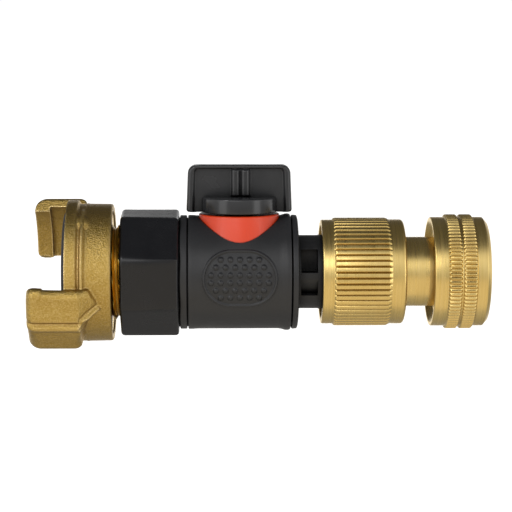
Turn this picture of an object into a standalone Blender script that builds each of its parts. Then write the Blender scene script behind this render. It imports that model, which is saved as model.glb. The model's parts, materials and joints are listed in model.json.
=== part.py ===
"""Inline hose valve: claw coupling, union nut, quarter-turn ball valve, quick connector and swivel nut.

The flow axis is X and the valve's stem axis is parallel to Z. The origin is the centre of the
claw coupling's sealing face, and water runs towards +X. Lengths below are in millimetres, and
profiles are lists of (distance along the axis, radius).
"""
from math import cos, pi, radians, sin

import bmesh
import bpy
from mathutils import Matrix, Vector

MM = 0.001
GAP = 0.3                       # clearance between two pieces that touch
OUTER_SEGMENTS = 40             # facets round a large turned piece
INNER_SEGMENTS = 24             # facets round a small or hidden one
BALL_HOLE_SEGMENTS = 16

# Claw coupling
CLAW_TIP_X = -9.2
LIP_BACK_X = -4.9
LIP_R = 18.95
ARM_INNER_R = 20.4
RIM_X = 1.0
RIM_BACK_X = 4.7
RIM_R = 20.0
HUB_R = 18.85
HUB_END_X = 14.1
CLAW_ANGLES = (6.0, 28.5, 56.0)     # degrees below the horizontal: edge, ridge and edge of a claw
CLAW_RADII = (22.4, 24.4, 23.5)     # outer radius at those angles
CLAW_TIP_ROUND = 1.8
CLAW_BACK_X = 4.7                   # where the outside of a claw starts to fall to the hub
CLAW_ROOT_X = 6.8
CLAW_ROOT_R = (18.3, 19.2)          # inside and outside of a claw where it meets the rim's back
BUTTRESS_APEX_X = 10.4
STOP_X = (4.2, 7.2)
STOP_R = (18.0, 19.1, 19.9)         # root, shoulder and top of a hook stop
STOP_ANGLES = (-39.0, -44.0, -52.0, -60.0, -65.0)
RIDGE_R = 19.8                      # thin ridge behind the rim's groove
GROOVE_R = 19.4
INLET_BORE_R = 9.0
SEAL_OUTER_R = 17.3
SEAL_INNER_R = 10.2
SEAL_BACK_X = 4.6
THREAD_R = 13.2                     # G 3/4 thread, 26.4 mm across its crests
THREAD_END_X = 23.0
THREAD_CHAMFER = 0.6

# Union nut and tail
NUT_X = (15.6, 31.6)
NUT_CORNER_R = 18.1
NUT_TURN = -4.5                     # degrees the octagon stands off level
NUT_LIP_X = 27.9
NUT_LIP_R = 10.2
NUT_CHAMFER = 0.9
NUT_SCALE = (0.955, 1.0, 0.985, 0.94)   # size of the octagon at both ends and inside their chamfers
NUT_BORE_R = THREAD_R + GAP
NUT_MOUTH_R = NUT_BORE_R + 0.5
WASHER_X = (THREAD_END_X + GAP, 25.6)
TAIL_X = 25.9
TAIL_FLANGE_X = 27.6
TAIL_FLANGE_R = 12.8
TAIL_R = 9.8
TAIL_BORE_R = 7.0

# Valve
STEM_X = 48.2
SHELL_HALF_LENGTH = 14.1
SHELL_R = 15.7
SHELL_INNER_R = 13.8
CORE_R = 13.5
SOCKET_R = 12.7
SOCKET_DEPTH = 5.2
CHAMBER_R = 10.3
COLLAR_R = 15.8
COLLAR_LENGTH = 1.9
PLUG_R = 12.4
TOWER_TOP_Z = 16.4
TOWER_TOP_R = 11.1
TOWER_FOOT_Z = 8.6
TOWER_FOOT_R = 12.4
BALL_R = 8.6
BALL_BORE_R = 5.6
BALL_SLOT_LOW = (-1.3, -9.0, 6.4)
BALL_SLOT_HIGH = (1.3, 9.0, 9.5)
SEAT_R = (5.8, 7.2, 10.0)           # bore, rim of the ball's seat and outside
SEAT_REACH = (5.5, 6.8, 8.6)        # distance of those edges from the stem axis
STEM_HOLE_R = 4.5
STEM_POCKET_R = 5.3
STEM_POCKET_TOP_Z = 10.9
DRIVE_HALF = 2.5
DRIVE_TOP_Z = 20.6
STEM_FOOT_Z = 8.9
STEM_RING_Z = (12.4, 14.6)
STEM_GROOVE_HALF = 0.8
STEM_GROOVE_R = 2.7
STEM_RING_R = (3.6, 0.55)           # ring and section of an O-ring
TANG_LOW = (-1.0, -3.4, 6.7)
TANG_HIGH = (1.0, 3.4, 9.4)

# Handle
HANDLE_BASE_Z = 16.9
HANDLE_TOP_Z = 29.9
HANDLE_DISC_TOP_Z = 21.1
HANDLE_DISC_R = 9.7
WING_FOOT_HALF = 14.6
WING_TOP_HALF = 14.1
WING_HALF_THICKNESS = 2.8
WING_CORNER_R = 2.2
WING_CORNER_STEPS = 5
WING_FOOT_CHAMFER = 0.8

# Outlet spigot
SPIGOT_BORE_R = 5.0
SPIGOT_TAIL_R = 9.9
NECK_R = 10.2
NECK_POCKET_Y = (8.0, 11.0)
NECK_POCKETS_Z = (("upper", 0.1, 5.6), ("lower", -6.4, -0.6))
NECK_END_X = 70.0
SHOULDER_R = 11.2
SHOULDER_END_X = 72.5
NOSE_R = 7.9
NOSE_END_X = 86.0
LOCK_X = 76.6                       # plane of the locking balls
LOCK_GROOVE_R = 6.5
LOCK_GROOVE_HALF = (1.2, 1.9)       # half widths of the groove at its floor and mouth
SPIGOT_RING_X = 82.6
SPIGOT_GROOVE_R = 6.3
SPIGOT_GROOVE_HALF = 1.2
SPIGOT_RING_R = (7.3, 0.75)         # ring and section of its O-ring

# Quick connector
SLEEVE_X = (70.8, 93.7)
SLEEVE_BAND_R = 14.35
SLEEVE_KNURL_R = 14.9
SLEEVE_KNURL_X = (74.0, 89.7)
SLEEVE_LAND_R = 11.25
SLEEVE_MOUTH_R = 12.85
SLEEVE_CONE = 4.4                   # length of the cone between the mouth and the land
SLEEVE_STEP_X = 79.9
SLEEVE_STEP_R = 9.95
SPRING_CHAMBER_X = 82.0
SPRING_CHAMBER_R = 12.4
CAGE_X = (73.3, 79.6)
CAGE_R = 10.9
CONNECTOR_SOCKET_R = 8.2
CONNECTOR_SOCKET_END_X = 86.6
CONNECTOR_BORE_R = 6.5
CONNECTOR_R = 9.65
CONNECTOR_END_X = 106.5
RING_GROOVE_R = 8.9                 # floor of the grooves for the retaining ring and the circlip
SPRING_RING_X = (91.0, 92.4)
SPRING_RING_R = (9.2, 12.1)
LOCK_BALL_R = 2.0
LOCK_BALL_CENTRE_R = 8.9
LOCK_BALL_COUNT = 4
BALL_HOLE_R = LOCK_BALL_R + 0.2
BALL_HOLE_REACH = (6.0, 13.0)
SPRING_R = 11.0
SPRING_WIRE_R = 0.55
SPRING_TURNS = 5
SPRING_STEPS = 16                   # for each turn
WIRE_SIDES = 6

# Swivel nut
SWIVEL_X = (101.2, 116.6)
SWIVEL_R = 15.1
SWIVEL_KNURL_R = 15.9
SWIVEL_KNURLS_X = ((105.0, 108.7), (109.1, 112.8))
SWIVEL_HOLE_R = 10.0
SWIVEL_RECESS_X = 103.0             # floor of the conical recess in the back
SWIVEL_RECESS_R = (10.6, 14.2)
SWIVEL_WALL_X = 104.2
SWIVEL_THREAD_R = 12.2
SWIVEL_FACE_R = 13.5
CIRCLIP_X = (104.5, 105.5)
CIRCLIP_R = (9.2, 11.4)
SWIVEL_WASHER_X = (106.8, 109.0)


def clear_scene():
    for item in list(bpy.data.objects):
        bpy.data.objects.remove(item, do_unlink=True)


def material(name, colour, roughness, metallic):
    made = bpy.data.materials.new(name)
    made.use_nodes = True
    shader = made.node_tree.nodes["Principled BSDF"]
    shader.inputs["Base Color"].default_value = (*colour, 1.0)
    shader.inputs["Roughness"].default_value = roughness
    shader.inputs["Metallic"].default_value = metallic
    made.diffuse_color = (*colour, 1.0)
    return made


def add_object(name, bm, finish=None, location=(0, 0, 0), parent=None):
    """Turn a bmesh into a named object, with its faces pointing outwards."""
    bmesh.ops.recalc_face_normals(bm, faces=bm.faces)
    mesh = bpy.data.meshes.new(name)
    bm.to_mesh(mesh)
    bm.free()
    mesh.shade_smooth()
    mesh.set_sharp_from_angle(angle=radians(32))
    if finish:
        mesh.materials.append(finish)
    made = bpy.data.objects.new(name, mesh)
    made.location = Vector(location) * MM
    made.parent = parent
    bpy.context.scene.collection.objects.link(made)
    return made


def combine(target, bm, operation, name, rotation_x=0.0, location=(0, 0, 0)):
    """Add a hidden tool shape and a Boolean modifier that uses it on the target."""
    tool = add_object(name, bm, location=location)
    tool.rotation_euler.x = rotation_x
    tool.hide_render = True
    tool.display_type = "WIRE"
    change = target.modifiers.new(name, "BOOLEAN")
    change.operation = operation
    change.solver = "EXACT"
    change.object = tool
    return tool


def axis_point(axis, along, radius, angle):
    """Point at a distance along an axis and a radius from it, in metres."""
    if axis == "X":
        return Vector((along, radius * cos(angle), radius * sin(angle))) * MM
    return Vector((radius * cos(angle), radius * sin(angle), along)) * MM


def bridge(bm, here, there):
    """Faces between two closed loops of vertices."""
    for i in range(len(here)):
        j = (i + 1) % len(here)
        bm.faces.new((here[i], here[j], there[j], there[i]))


def lofted(loops):
    """Solid through a run of closed loops of points, with flat ends."""
    bm = bmesh.new()
    rings = [[bm.verts.new(point) for point in loop] for loop in loops]
    for here, there in zip(rings, rings[1:]):
        bridge(bm, here, there)
    bm.faces.new(rings[0])
    bm.faces.new(rings[-1])
    return bm


def turned(profile, segments=OUTER_SEGMENTS, axis="X"):
    """Ring turned about an axis from a profile that is a closed loop."""
    bm = bmesh.new()
    rings = []
    for step in range(segments):
        angle = 2 * pi * step / segments
        rings.append([bm.verts.new(axis_point(axis, along, radius, angle)) for along, radius in profile])
    for step in range(segments):
        bridge(bm, rings[step], rings[(step + 1) % segments])
    return bm


def turned_solid(profile, segments=INNER_SEGMENTS, axis="X"):
    """Solid turned about an axis from a profile that is an open run, with flat ends."""
    angles = [2 * pi * step / segments for step in range(segments)]
    loops = [[axis_point(axis, along, radius, angle) for angle in angles] for along, radius in profile]
    return lofted(loops)


def rectangular_ring(span, radii, segments=INNER_SEGMENTS):
    """Ring about the flow axis with a rectangular section."""
    (x0, x1), (inner, outer) = span, radii
    return turned([(x0, inner), (x0, outer), (x1, outer), (x1, inner)], segments)


def box(low, high):
    """Box between two corners."""
    bm = bmesh.new()
    bmesh.ops.create_cube(bm, size=1.0)
    centre = (Vector(low) + Vector(high)) / 2 * MM
    size = (Vector(high) - Vector(low)) * MM
    stretch = Matrix.Translation(centre) @ Matrix.Diagonal((*size, 1.0))
    bmesh.ops.transform(bm, matrix=stretch, verts=bm.verts)
    return bm


def rubber_ring(centre_along, ring_r, section_r, axis="X"):
    """O-ring with a six-sided section."""
    sides = 6
    angles = [2 * pi * (i + 0.5) / sides for i in range(sides)]
    profile = [(centre_along + section_r * cos(a), ring_r + section_r * sin(a)) for a in angles]
    return turned(profile, INNER_SEGMENTS, axis)


def claw_point(x, angle, radius):
    """Point at an angle below the horizontal on the -Y side, in metres."""
    turn = radians(angle)
    return Vector((x, -radius * cos(turn), -radius * sin(turn))) * MM


def claw_outer_radius(angle):
    """Outer radius of a claw, whose outside is two flat facets that meet in a ridge."""
    edge, ridge, end = CLAW_ANGLES
    first = 0 if angle <= ridge else 1
    low, high = CLAW_ANGLES[first], CLAW_ANGLES[first + 1]
    r_low, r_high = CLAW_RADII[first], CLAW_RADII[first + 1]
    span = radians(high - low)
    from_low, from_high = radians(angle - low), radians(high - angle)
    return r_low * r_high * sin(span) / (r_low * sin(from_low) + r_high * sin(from_high))


def claw():
    """One claw: an arm along the axis with a lip that hooks inwards, on a root that joins the rim."""
    loops = []
    steps = 10
    inside, root = CLAW_ROOT_R
    for step in range(steps + 1):
        angle = CLAW_ANGLES[0] + (CLAW_ANGLES[2] - CLAW_ANGLES[0]) * step / steps
        outer = claw_outer_radius(angle)
        profile = [
            (CLAW_TIP_X, LIP_R + 0.5), (CLAW_TIP_X, outer - CLAW_TIP_ROUND),
            (CLAW_TIP_X + CLAW_TIP_ROUND / 3, outer - CLAW_TIP_ROUND / 3),
            (CLAW_TIP_X + CLAW_TIP_ROUND, outer), (CLAW_BACK_X, outer),
            (CLAW_BACK_X + 1.4, outer - 1.4), (CLAW_ROOT_X, root), (CLAW_ROOT_X, inside),
            (RIM_X - GAP, inside), (RIM_X - GAP, ARM_INNER_R), (LIP_BACK_X, ARM_INNER_R),
            (LIP_BACK_X, LIP_R), (CLAW_TIP_X + 0.5, LIP_R),
        ]
        loops.append([claw_point(x, angle, radius) for x, radius in profile])
    return lofted(loops)


def claw_buttress():
    """Wedge behind a claw that carries its load down to the hub, from corners (x, angle, radius)."""
    foot = HUB_R - 0.65
    start = CLAW_BACK_X - 0.3
    corners = [
        (start, 7.5, 22.2), (start, 28.5, 24.2), (start, 34.0, 24.0), (CLAW_ROOT_X, 7.0, 19.4),
        (BUTTRESS_APEX_X, 24.0, 18.9), (CLAW_ROOT_X - 0.6, 41.0, 21.0), (start, 7.0, foot), (start, 41.0, foot),
        (BUTTRESS_APEX_X - 0.5, 24.0, foot),
    ]
    bm = bmesh.new()
    points = [bm.verts.new(claw_point(*corner)) for corner in corners]
    bmesh.ops.convex_hull(bm, input=points)
    return bm


def hook_stop():
    """Lug behind the rim that stops the mating claw's hook."""
    (x0, x1), (root, shoulder, top) = STOP_X, STOP_R
    loops = []
    for angle in STOP_ANGLES:
        at_end = angle in (STOP_ANGLES[0], STOP_ANGLES[-1])
        height = shoulder + 0.2 if at_end else top
        profile = [(x0, root), (x0, height), (x1 - 0.8, height), (x1, shoulder), (x1, root)]
        loops.append([claw_point(x, angle, radius) for x, radius in profile])
    return lofted(loops)


def make_claw_coupling(brass, rubber):
    recess_x = SEAL_BACK_X + GAP
    groove_x, ridge_x = RIM_BACK_X + 0.3, RIM_BACK_X + 1.1
    profile = [
        (RIM_X, RIM_R - 0.5), (RIM_X + 0.5, RIM_R), (RIM_BACK_X, RIM_R), (groove_x, GROOVE_R),
        (groove_x + 0.5, GROOVE_R), (ridge_x, RIDGE_R), (ridge_x + 0.4, RIDGE_R), (ridge_x + 0.8, HUB_R),
        (HUB_END_X - 0.7, HUB_R), (HUB_END_X, HUB_R - 0.7), (HUB_END_X, THREAD_R),
        (THREAD_END_X - THREAD_CHAMFER, THREAD_R), (THREAD_END_X, THREAD_R - THREAD_CHAMFER),
        (THREAD_END_X, INLET_BORE_R), (recess_x, INLET_BORE_R), (recess_x, SEAL_OUTER_R + GAP),
        (RIM_X, SEAL_OUTER_R + GAP),
    ]
    coupling = add_object("claw_coupling", turned(profile), brass)
    for side, turn in (("front", 0.0), ("back", pi)):
        combine(coupling, claw(), "UNION", f"tool_claw_{side}", turn)
        combine(coupling, claw_buttress(), "UNION", f"tool_buttress_{side}", turn)
        combine(coupling, hook_stop(), "UNION", f"tool_stop_{side}", turn)
    seal = [
        (0.0, SEAL_INNER_R + 0.6), (0.0, SEAL_OUTER_R - 1.2), (RIM_X, SEAL_OUTER_R),
        (SEAL_BACK_X, SEAL_OUTER_R), (SEAL_BACK_X, SEAL_INNER_R), (0.6, SEAL_INNER_R),
    ]
    add_object("coupling_seal", turned(seal), rubber)


def make_union_nut(black, rubber):
    x0, x1 = NUT_X
    angles = [radians(22.5 - NUT_TURN) + pi / 4 * corner for corner in range(8)]
    stations = zip((x0, x0 + NUT_CHAMFER, x1 - NUT_CHAMFER, x1), NUT_SCALE)
    octagons = [[axis_point("X", x, NUT_CORNER_R * scale, a) for a in angles] for x, scale in stations]
    nut = add_object("inlet_nut", lofted(octagons), black)
    cavity = [
        (x0 - 1.0, NUT_MOUTH_R), (x0 + 0.6, NUT_MOUTH_R), (x0 + 1.1, NUT_BORE_R), (NUT_LIP_X, NUT_BORE_R),
        (NUT_LIP_X, NUT_LIP_R), (x1 + 1.0, NUT_LIP_R),
    ]
    combine(nut, turned_solid(cavity, OUTER_SEGMENTS), "DIFFERENCE", "tool_nut_cavity")
    add_object("inlet_washer", rectangular_ring(WASHER_X, (INLET_BORE_R, TAIL_FLANGE_R)), rubber)


def make_inlet_tail(black):
    seat_front = STEM_X - SEAT_REACH[2]
    tail = [
        (TAIL_X, TAIL_FLANGE_R), (TAIL_FLANGE_X, TAIL_FLANGE_R), (TAIL_FLANGE_X, TAIL_R),
        (seat_front - GAP, TAIL_R), (seat_front - GAP, TAIL_BORE_R), (TAIL_X, TAIL_BORE_R),
    ]
    add_object("inlet_tailpiece", turned(tail, INNER_SEGMENTS), black)
    face = STEM_X - SHELL_HALF_LENGTH - GAP
    hole = TAIL_R + GAP
    cap = [
        (face - COLLAR_LENGTH, COLLAR_R - 0.3), (face - COLLAR_LENGTH + 0.3, COLLAR_R),
        (face - 0.3, COLLAR_R), (face, COLLAR_R - 0.3), (face, PLUG_R), (face + SOCKET_DEPTH, PLUG_R),
        (face + SOCKET_DEPTH, hole), (face - COLLAR_LENGTH, hole),
    ]
    add_object("inlet_end_cap", turned(cap), black)


def tower(clearance=0.0, foot=TOWER_FOOT_Z, top=TOWER_TOP_Z):
    """Tapered round tower about the stem axis, widened all round by a clearance."""
    slope = (TOWER_TOP_R - TOWER_FOOT_R) / (TOWER_TOP_Z - TOWER_FOOT_Z)
    radius_at = [TOWER_FOOT_R + slope * (z - TOWER_FOOT_Z) + clearance for z in (foot, top)]
    return turned_solid([(foot, radius_at[0]), (top, radius_at[1])], OUTER_SEGMENTS, "Z")


def make_valve_body(shell_finish, red):
    x0, x1 = STEM_X - SHELL_HALF_LENGTH, STEM_X + SHELL_HALF_LENGTH
    shell = [
        (x0, SHELL_R - 0.2), (x0 + 0.3, SHELL_R + 0.2), (x0 + 3.0, SHELL_R), (x1 - 5.0, SHELL_R),
        (x1 - 1.5, SHELL_R + 0.5), (x1 - 0.4, SHELL_R + 0.5), (x1, SHELL_R), (x1, SHELL_INNER_R),
        (x0, SHELL_INNER_R),
    ]
    cover = add_object("body_shell", turned(shell), shell_finish)
    combine(cover, tower(GAP, 5.0, 20.0), "DIFFERENCE", "tool_shell_window", location=(STEM_X, 0, 0))

    core = add_object("valve_core", turned_solid([(x0, CORE_R), (x1, CORE_R)], OUTER_SEGMENTS), red)
    combine(core, tower(), "UNION", "tool_tower", location=(STEM_X, 0, 0))
    shoulders = (x0 + SOCKET_DEPTH, x1 - SOCKET_DEPTH)
    passage = [
        (x0 - 1.0, SOCKET_R), (shoulders[0], SOCKET_R), (shoulders[0], CHAMBER_R),
        (shoulders[1], CHAMBER_R), (shoulders[1], SOCKET_R), (x1 + 1.0, SOCKET_R),
    ]
    combine(core, turned_solid(passage, OUTER_SEGMENTS), "DIFFERENCE", "tool_passage")
    stem_hole = [
        (5.0, STEM_POCKET_R), (STEM_POCKET_TOP_Z, STEM_POCKET_R), (STEM_POCKET_TOP_Z, STEM_HOLE_R),
        (TOWER_TOP_Z + 1.0, STEM_HOLE_R),
    ]
    combine(core, turned_solid(stem_hole, INNER_SEGMENTS, "Z"), "DIFFERENCE", "tool_stem_hole",
            location=(STEM_X, 0, 0))


def make_ball_and_seats(steel, white):
    bm = bmesh.new()
    bmesh.ops.create_uvsphere(bm, u_segments=24, v_segments=14, radius=BALL_R * MM)
    ball = add_object("ball", bm, steel, location=(STEM_X, 0, 0))
    bore = turned_solid([(-BALL_R - 1, BALL_BORE_R), (BALL_R + 1, BALL_BORE_R)])
    combine(ball, bore, "DIFFERENCE", "tool_ball_bore", location=(STEM_X, 0, 0))
    slot = box(BALL_SLOT_LOW, BALL_SLOT_HIGH)
    combine(ball, slot, "DIFFERENCE", "tool_ball_slot", location=(STEM_X, 0, 0))
    bore_r, lip_r, outer_r = SEAT_R
    for name, side in (("seat_inlet", -1), ("seat_outlet", 1)):
        near, lip, far = [STEM_X + side * reach for reach in SEAT_REACH]
        profile = [(far, bore_r), (far, outer_r), (near, outer_r), (near, lip_r), (lip, bore_r)]
        add_object(name, turned(profile, INNER_SEGMENTS), white)


def make_stem(brass, rubber, stem_axis):
    stem_r, foot_r = STEM_HOLE_R - GAP, STEM_POCKET_R - GAP
    shoulder_z = STEM_POCKET_TOP_Z - GAP
    profile = [(STEM_FOOT_Z, foot_r), (shoulder_z, foot_r), (shoulder_z, stem_r)]
    for z in STEM_RING_Z:
        low, high = z - STEM_GROOVE_HALF, z + STEM_GROOVE_HALF
        profile += [(low, stem_r), (low, STEM_GROOVE_R), (high, STEM_GROOVE_R), (high, stem_r)]
    profile.append((HANDLE_BASE_Z - GAP, stem_r))
    stem = add_object("stem", turned_solid(profile, INNER_SEGMENTS, "Z"), brass, parent=stem_axis)
    combine(stem, box(TANG_LOW, TANG_HIGH), "UNION", "tool_tang", location=(STEM_X, 0, 0))
    drive = box((-DRIVE_HALF, -DRIVE_HALF, TOWER_TOP_Z - 0.4), (DRIVE_HALF, DRIVE_HALF, DRIVE_TOP_Z))
    combine(stem, drive, "UNION", "tool_drive", location=(STEM_X, 0, 0))
    for name, z in zip(("stem_o_ring_lower", "stem_o_ring_upper"), STEM_RING_Z):
        add_object(name, rubber_ring(z, *STEM_RING_R, "Z"), rubber, parent=stem_axis)


def wing():
    """Flat upright grip along the flow axis, with rounded top corners."""
    foot, chamfer_z = WING_FOOT_HALF - WING_FOOT_CHAMFER, HANDLE_BASE_Z + WING_FOOT_CHAMFER
    outline = [(-WING_FOOT_HALF, chamfer_z), (-foot, HANDLE_BASE_Z), (foot, HANDLE_BASE_Z),
               (WING_FOOT_HALF, chamfer_z)]
    for side in (1, -1):
        for step in range(WING_CORNER_STEPS + 1):
            turn = pi / 2 * step / WING_CORNER_STEPS
            turn = turn if side == 1 else pi / 2 - turn
            centre_x = side * (WING_TOP_HALF - WING_CORNER_R)
            outline.append((centre_x + side * WING_CORNER_R * cos(turn),
                            HANDLE_TOP_Z - WING_CORNER_R + WING_CORNER_R * sin(turn)))
    sides = (-WING_HALF_THICKNESS, WING_HALF_THICKNESS)
    return lofted([[Vector((x, y, z)) * MM for x, z in outline] for y in sides])


def make_handle(black, stem_axis):
    disc = [(HANDLE_BASE_Z, HANDLE_DISC_R), (HANDLE_DISC_TOP_Z - 0.6, HANDLE_DISC_R),
            (HANDLE_DISC_TOP_Z, HANDLE_DISC_R - 0.6)]
    handle = add_object("handle", turned_solid(disc, OUTER_SEGMENTS, "Z"), black, parent=stem_axis)
    combine(handle, wing(), "UNION", "tool_wing", location=(STEM_X, 0, 0))
    half = DRIVE_HALF + GAP
    socket = box((-half, -half, HANDLE_BASE_Z - 1.0), (half, half, DRIVE_TOP_Z + GAP))
    combine(handle, socket, "DIFFERENCE", "tool_drive_socket", location=(STEM_X, 0, 0))


def make_outlet_spigot(black, rubber):
    x1 = STEM_X + SHELL_HALF_LENGTH
    face = x1 + GAP
    neck_x = face + COLLAR_LENGTH + 0.2
    plug_x = x1 - SOCKET_DEPTH + GAP
    floor, mouth = LOCK_GROOVE_HALF
    ring_x0, ring_x1 = SPIGOT_RING_X - SPIGOT_GROOVE_HALF, SPIGOT_RING_X + SPIGOT_GROOVE_HALF
    profile = [
        (plug_x - GAP, SPIGOT_TAIL_R), (plug_x, SPIGOT_TAIL_R), (plug_x, PLUG_R), (face, PLUG_R),
        (face, COLLAR_R + 0.1), (face + 1.4, COLLAR_R), (neck_x, COLLAR_R - 0.8), (neck_x, NECK_R),
        (NECK_END_X, NECK_R), (NECK_END_X, SHOULDER_R), (SHOULDER_END_X, SHOULDER_R),
        (SHOULDER_END_X, NOSE_R), (LOCK_X - mouth, NOSE_R), (LOCK_X - floor, LOCK_GROOVE_R),
        (LOCK_X + floor, LOCK_GROOVE_R), (LOCK_X + mouth, NOSE_R), (ring_x0, NOSE_R),
        (ring_x0, SPIGOT_GROOVE_R), (ring_x1, SPIGOT_GROOVE_R), (ring_x1, NOSE_R),
        (NOSE_END_X - 1.0, NOSE_R), (NOSE_END_X, NOSE_R - 1.0), (NOSE_END_X, SPIGOT_BORE_R),
        (plug_x - GAP, SPIGOT_BORE_R),
    ]
    spigot = add_object("outlet_spigot", turned(profile), black)
    pocket_x = (neck_x + 0.3, NECK_END_X - 0.3)
    near, far = NECK_POCKET_Y
    for side, y0, y1 in (("front", -far, -near), ("back", near, far)):
        for level, z0, z1 in NECK_POCKETS_Z:
            pocket = box((pocket_x[0], y0, z0), (pocket_x[1], y1, z1))
            combine(spigot, pocket, "DIFFERENCE", f"tool_pocket_{side}_{level}")
    add_object("spigot_o_ring", rubber_ring(SPIGOT_RING_X, *SPIGOT_RING_R), rubber)


def make_connector(brass, steel):
    profile = [
        (CAGE_X[0], CAGE_R - 0.4), (CAGE_X[0] + 0.4, CAGE_R), (CAGE_X[1], CAGE_R), (CAGE_X[1], CONNECTOR_R),
    ]
    for low, high in (SPRING_RING_X, CIRCLIP_X):
        x0, x1 = low - GAP / 2, high + GAP / 2
        profile += [(x0, CONNECTOR_R), (x0, RING_GROOVE_R), (x1, RING_GROOVE_R), (x1, CONNECTOR_R)]
    profile += [
        (CONNECTOR_END_X, CONNECTOR_R), (CONNECTOR_END_X, CONNECTOR_BORE_R),
        (CONNECTOR_SOCKET_END_X, CONNECTOR_BORE_R), (CONNECTOR_SOCKET_END_X, CONNECTOR_SOCKET_R),
        (CAGE_X[0], CONNECTOR_SOCKET_R),
    ]
    body = add_object("connector_body", turned(profile), brass)
    for number in range(LOCK_BALL_COUNT):
        angle = pi / 4 + 2 * pi * number / LOCK_BALL_COUNT
        hole = turned_solid([(reach, BALL_HOLE_R) for reach in BALL_HOLE_REACH], BALL_HOLE_SEGMENTS, "Z")
        combine(body, hole, "DIFFERENCE", f"tool_ball_hole_{number + 1}", angle - pi / 2, (LOCK_X, 0, 0))
        bm = bmesh.new()
        bmesh.ops.create_uvsphere(bm, u_segments=12, v_segments=8, radius=LOCK_BALL_R * MM)
        place = (LOCK_X, LOCK_BALL_CENTRE_R * cos(angle), LOCK_BALL_CENTRE_R * sin(angle))
        add_object(f"locking_ball_{number + 1}", bm, steel, location=place)
    add_object("spring_retaining_ring", rectangular_ring(SPRING_RING_X, SPRING_RING_R), steel)
    add_object("swivel_circlip", rectangular_ring(CIRCLIP_X, CIRCLIP_R), steel)


def make_release_sleeve(brass):
    x0, x1 = SLEEVE_X
    k0, k1 = SLEEVE_KNURL_X
    profile = [
        (x0, SLEEVE_BAND_R - 0.6), (x0 + 0.6, SLEEVE_BAND_R), (k0, SLEEVE_BAND_R),
        (k0 + 0.5, SLEEVE_KNURL_R), (k1 - 0.5, SLEEVE_KNURL_R), (k1, SLEEVE_BAND_R + 0.05),
        (x1 - 0.9, SLEEVE_BAND_R + 0.05), (x1, SLEEVE_BAND_R - 0.9), (x1, SPRING_CHAMBER_R),
        (SPRING_CHAMBER_X, SPRING_CHAMBER_R), (SPRING_CHAMBER_X, SLEEVE_STEP_R),
        (SLEEVE_STEP_X, SLEEVE_STEP_R), (SLEEVE_STEP_X, SLEEVE_LAND_R), (LOCK_X, SLEEVE_LAND_R),
        (LOCK_X - SLEEVE_CONE, SLEEVE_MOUTH_R), (x0, SLEEVE_MOUTH_R),
    ]
    add_object("release_sleeve", turned(profile), brass)


def make_sleeve_spring(steel):
    """Compression spring that holds the release sleeve over the locking balls."""
    start = SPRING_CHAMBER_X + GAP + SPRING_WIRE_R
    end = SPRING_RING_X[0] - GAP - SPRING_WIRE_R
    steps = SPRING_TURNS * SPRING_STEPS
    swings = [2 * pi * side / WIRE_SIDES for side in range(WIRE_SIDES)]
    section = [(SPRING_WIRE_R * cos(swing), SPRING_WIRE_R * sin(swing)) for swing in swings]
    loops = []
    for step in range(steps + 1):
        turn = 2 * pi * SPRING_TURNS * step / steps
        along = start + (end - start) * step / steps
        loops.append([axis_point("X", along + dx, SPRING_R + dr, turn) for dx, dr in section])
    add_object("sleeve_spring", lofted(loops), steel)


def make_swivel_nut(brass, rubber):
    x0, x1 = SWIVEL_X
    profile = [(x0, SWIVEL_R - 0.5), (x0 + 0.5, SWIVEL_R)]
    for low, high in SWIVEL_KNURLS_X:
        crest = (low + 0.4, SWIVEL_KNURL_R), (high - 0.4, SWIVEL_KNURL_R)
        profile += [(low, SWIVEL_R), *crest, (high, SWIVEL_R)]
    profile += [
        (x1 - 1.0, SWIVEL_R), (x1, SWIVEL_FACE_R), (x1, SWIVEL_THREAD_R), (SWIVEL_WALL_X, SWIVEL_THREAD_R),
        (SWIVEL_WALL_X, SWIVEL_HOLE_R), (SWIVEL_RECESS_X, SWIVEL_HOLE_R),
        (SWIVEL_RECESS_X, SWIVEL_RECESS_R[0]), (x0, SWIVEL_RECESS_R[1]),
    ]
    add_object("swivel_nut", turned(profile), brass)
    washer_r = (CONNECTOR_BORE_R, SWIVEL_THREAD_R - GAP)
    add_object("swivel_washer", rectangular_ring(SWIVEL_WASHER_X, washer_r), rubber)


def build():
    clear_scene()
    brass_cast = material("brass_cast", (0.50, 0.34, 0.12), 0.38, 1.0)
    brass_turned = material("brass_turned", (0.62, 0.46, 0.20), 0.30, 1.0)
    black_gloss = material("black_gloss_plastic", (0.018, 0.018, 0.019), 0.25, 0.0)
    black_matte = material("black_soft_plastic", (0.030, 0.030, 0.031), 0.60, 0.0)
    red = material("red_plastic", (0.72, 0.07, 0.035), 0.35, 0.0)
    white = material("white_seat_plastic", (0.85, 0.85, 0.83), 0.45, 0.0)
    rubber = material("black_rubber", (0.020, 0.020, 0.022), 0.75, 0.0)
    steel = material("steel", (0.62, 0.62, 0.63), 0.25, 1.0)

    stem_axis = bpy.data.objects.new("stem_axis", None)
    stem_axis.location = Vector((STEM_X, 0, 0)) * MM
    bpy.context.scene.collection.objects.link(stem_axis)

    make_claw_coupling(brass_cast, rubber)
    make_union_nut(black_gloss, rubber)
    make_inlet_tail(black_matte)
    make_valve_body(black_matte, red)
    make_ball_and_seats(steel, white)
    make_stem(brass_turned, rubber, stem_axis)
    make_handle(black_gloss, stem_axis)
    make_outlet_spigot(black_matte, rubber)
    make_connector(brass_turned, steel)
    make_release_sleeve(brass_turned)
    make_sleeve_spring(steel)
    make_swivel_nut(brass_turned, rubber)


build()
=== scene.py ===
"""Looks of the inline hose valve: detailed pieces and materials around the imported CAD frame.

The flow axis is X, the stem axis is parallel to Z, and the photographed side faces -Y.
Lengths are in millimetres until a vertex is made.
"""
import json
from math import atan2, cos, degrees, hypot, pi, radians, sin, sqrt, tan

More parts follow.
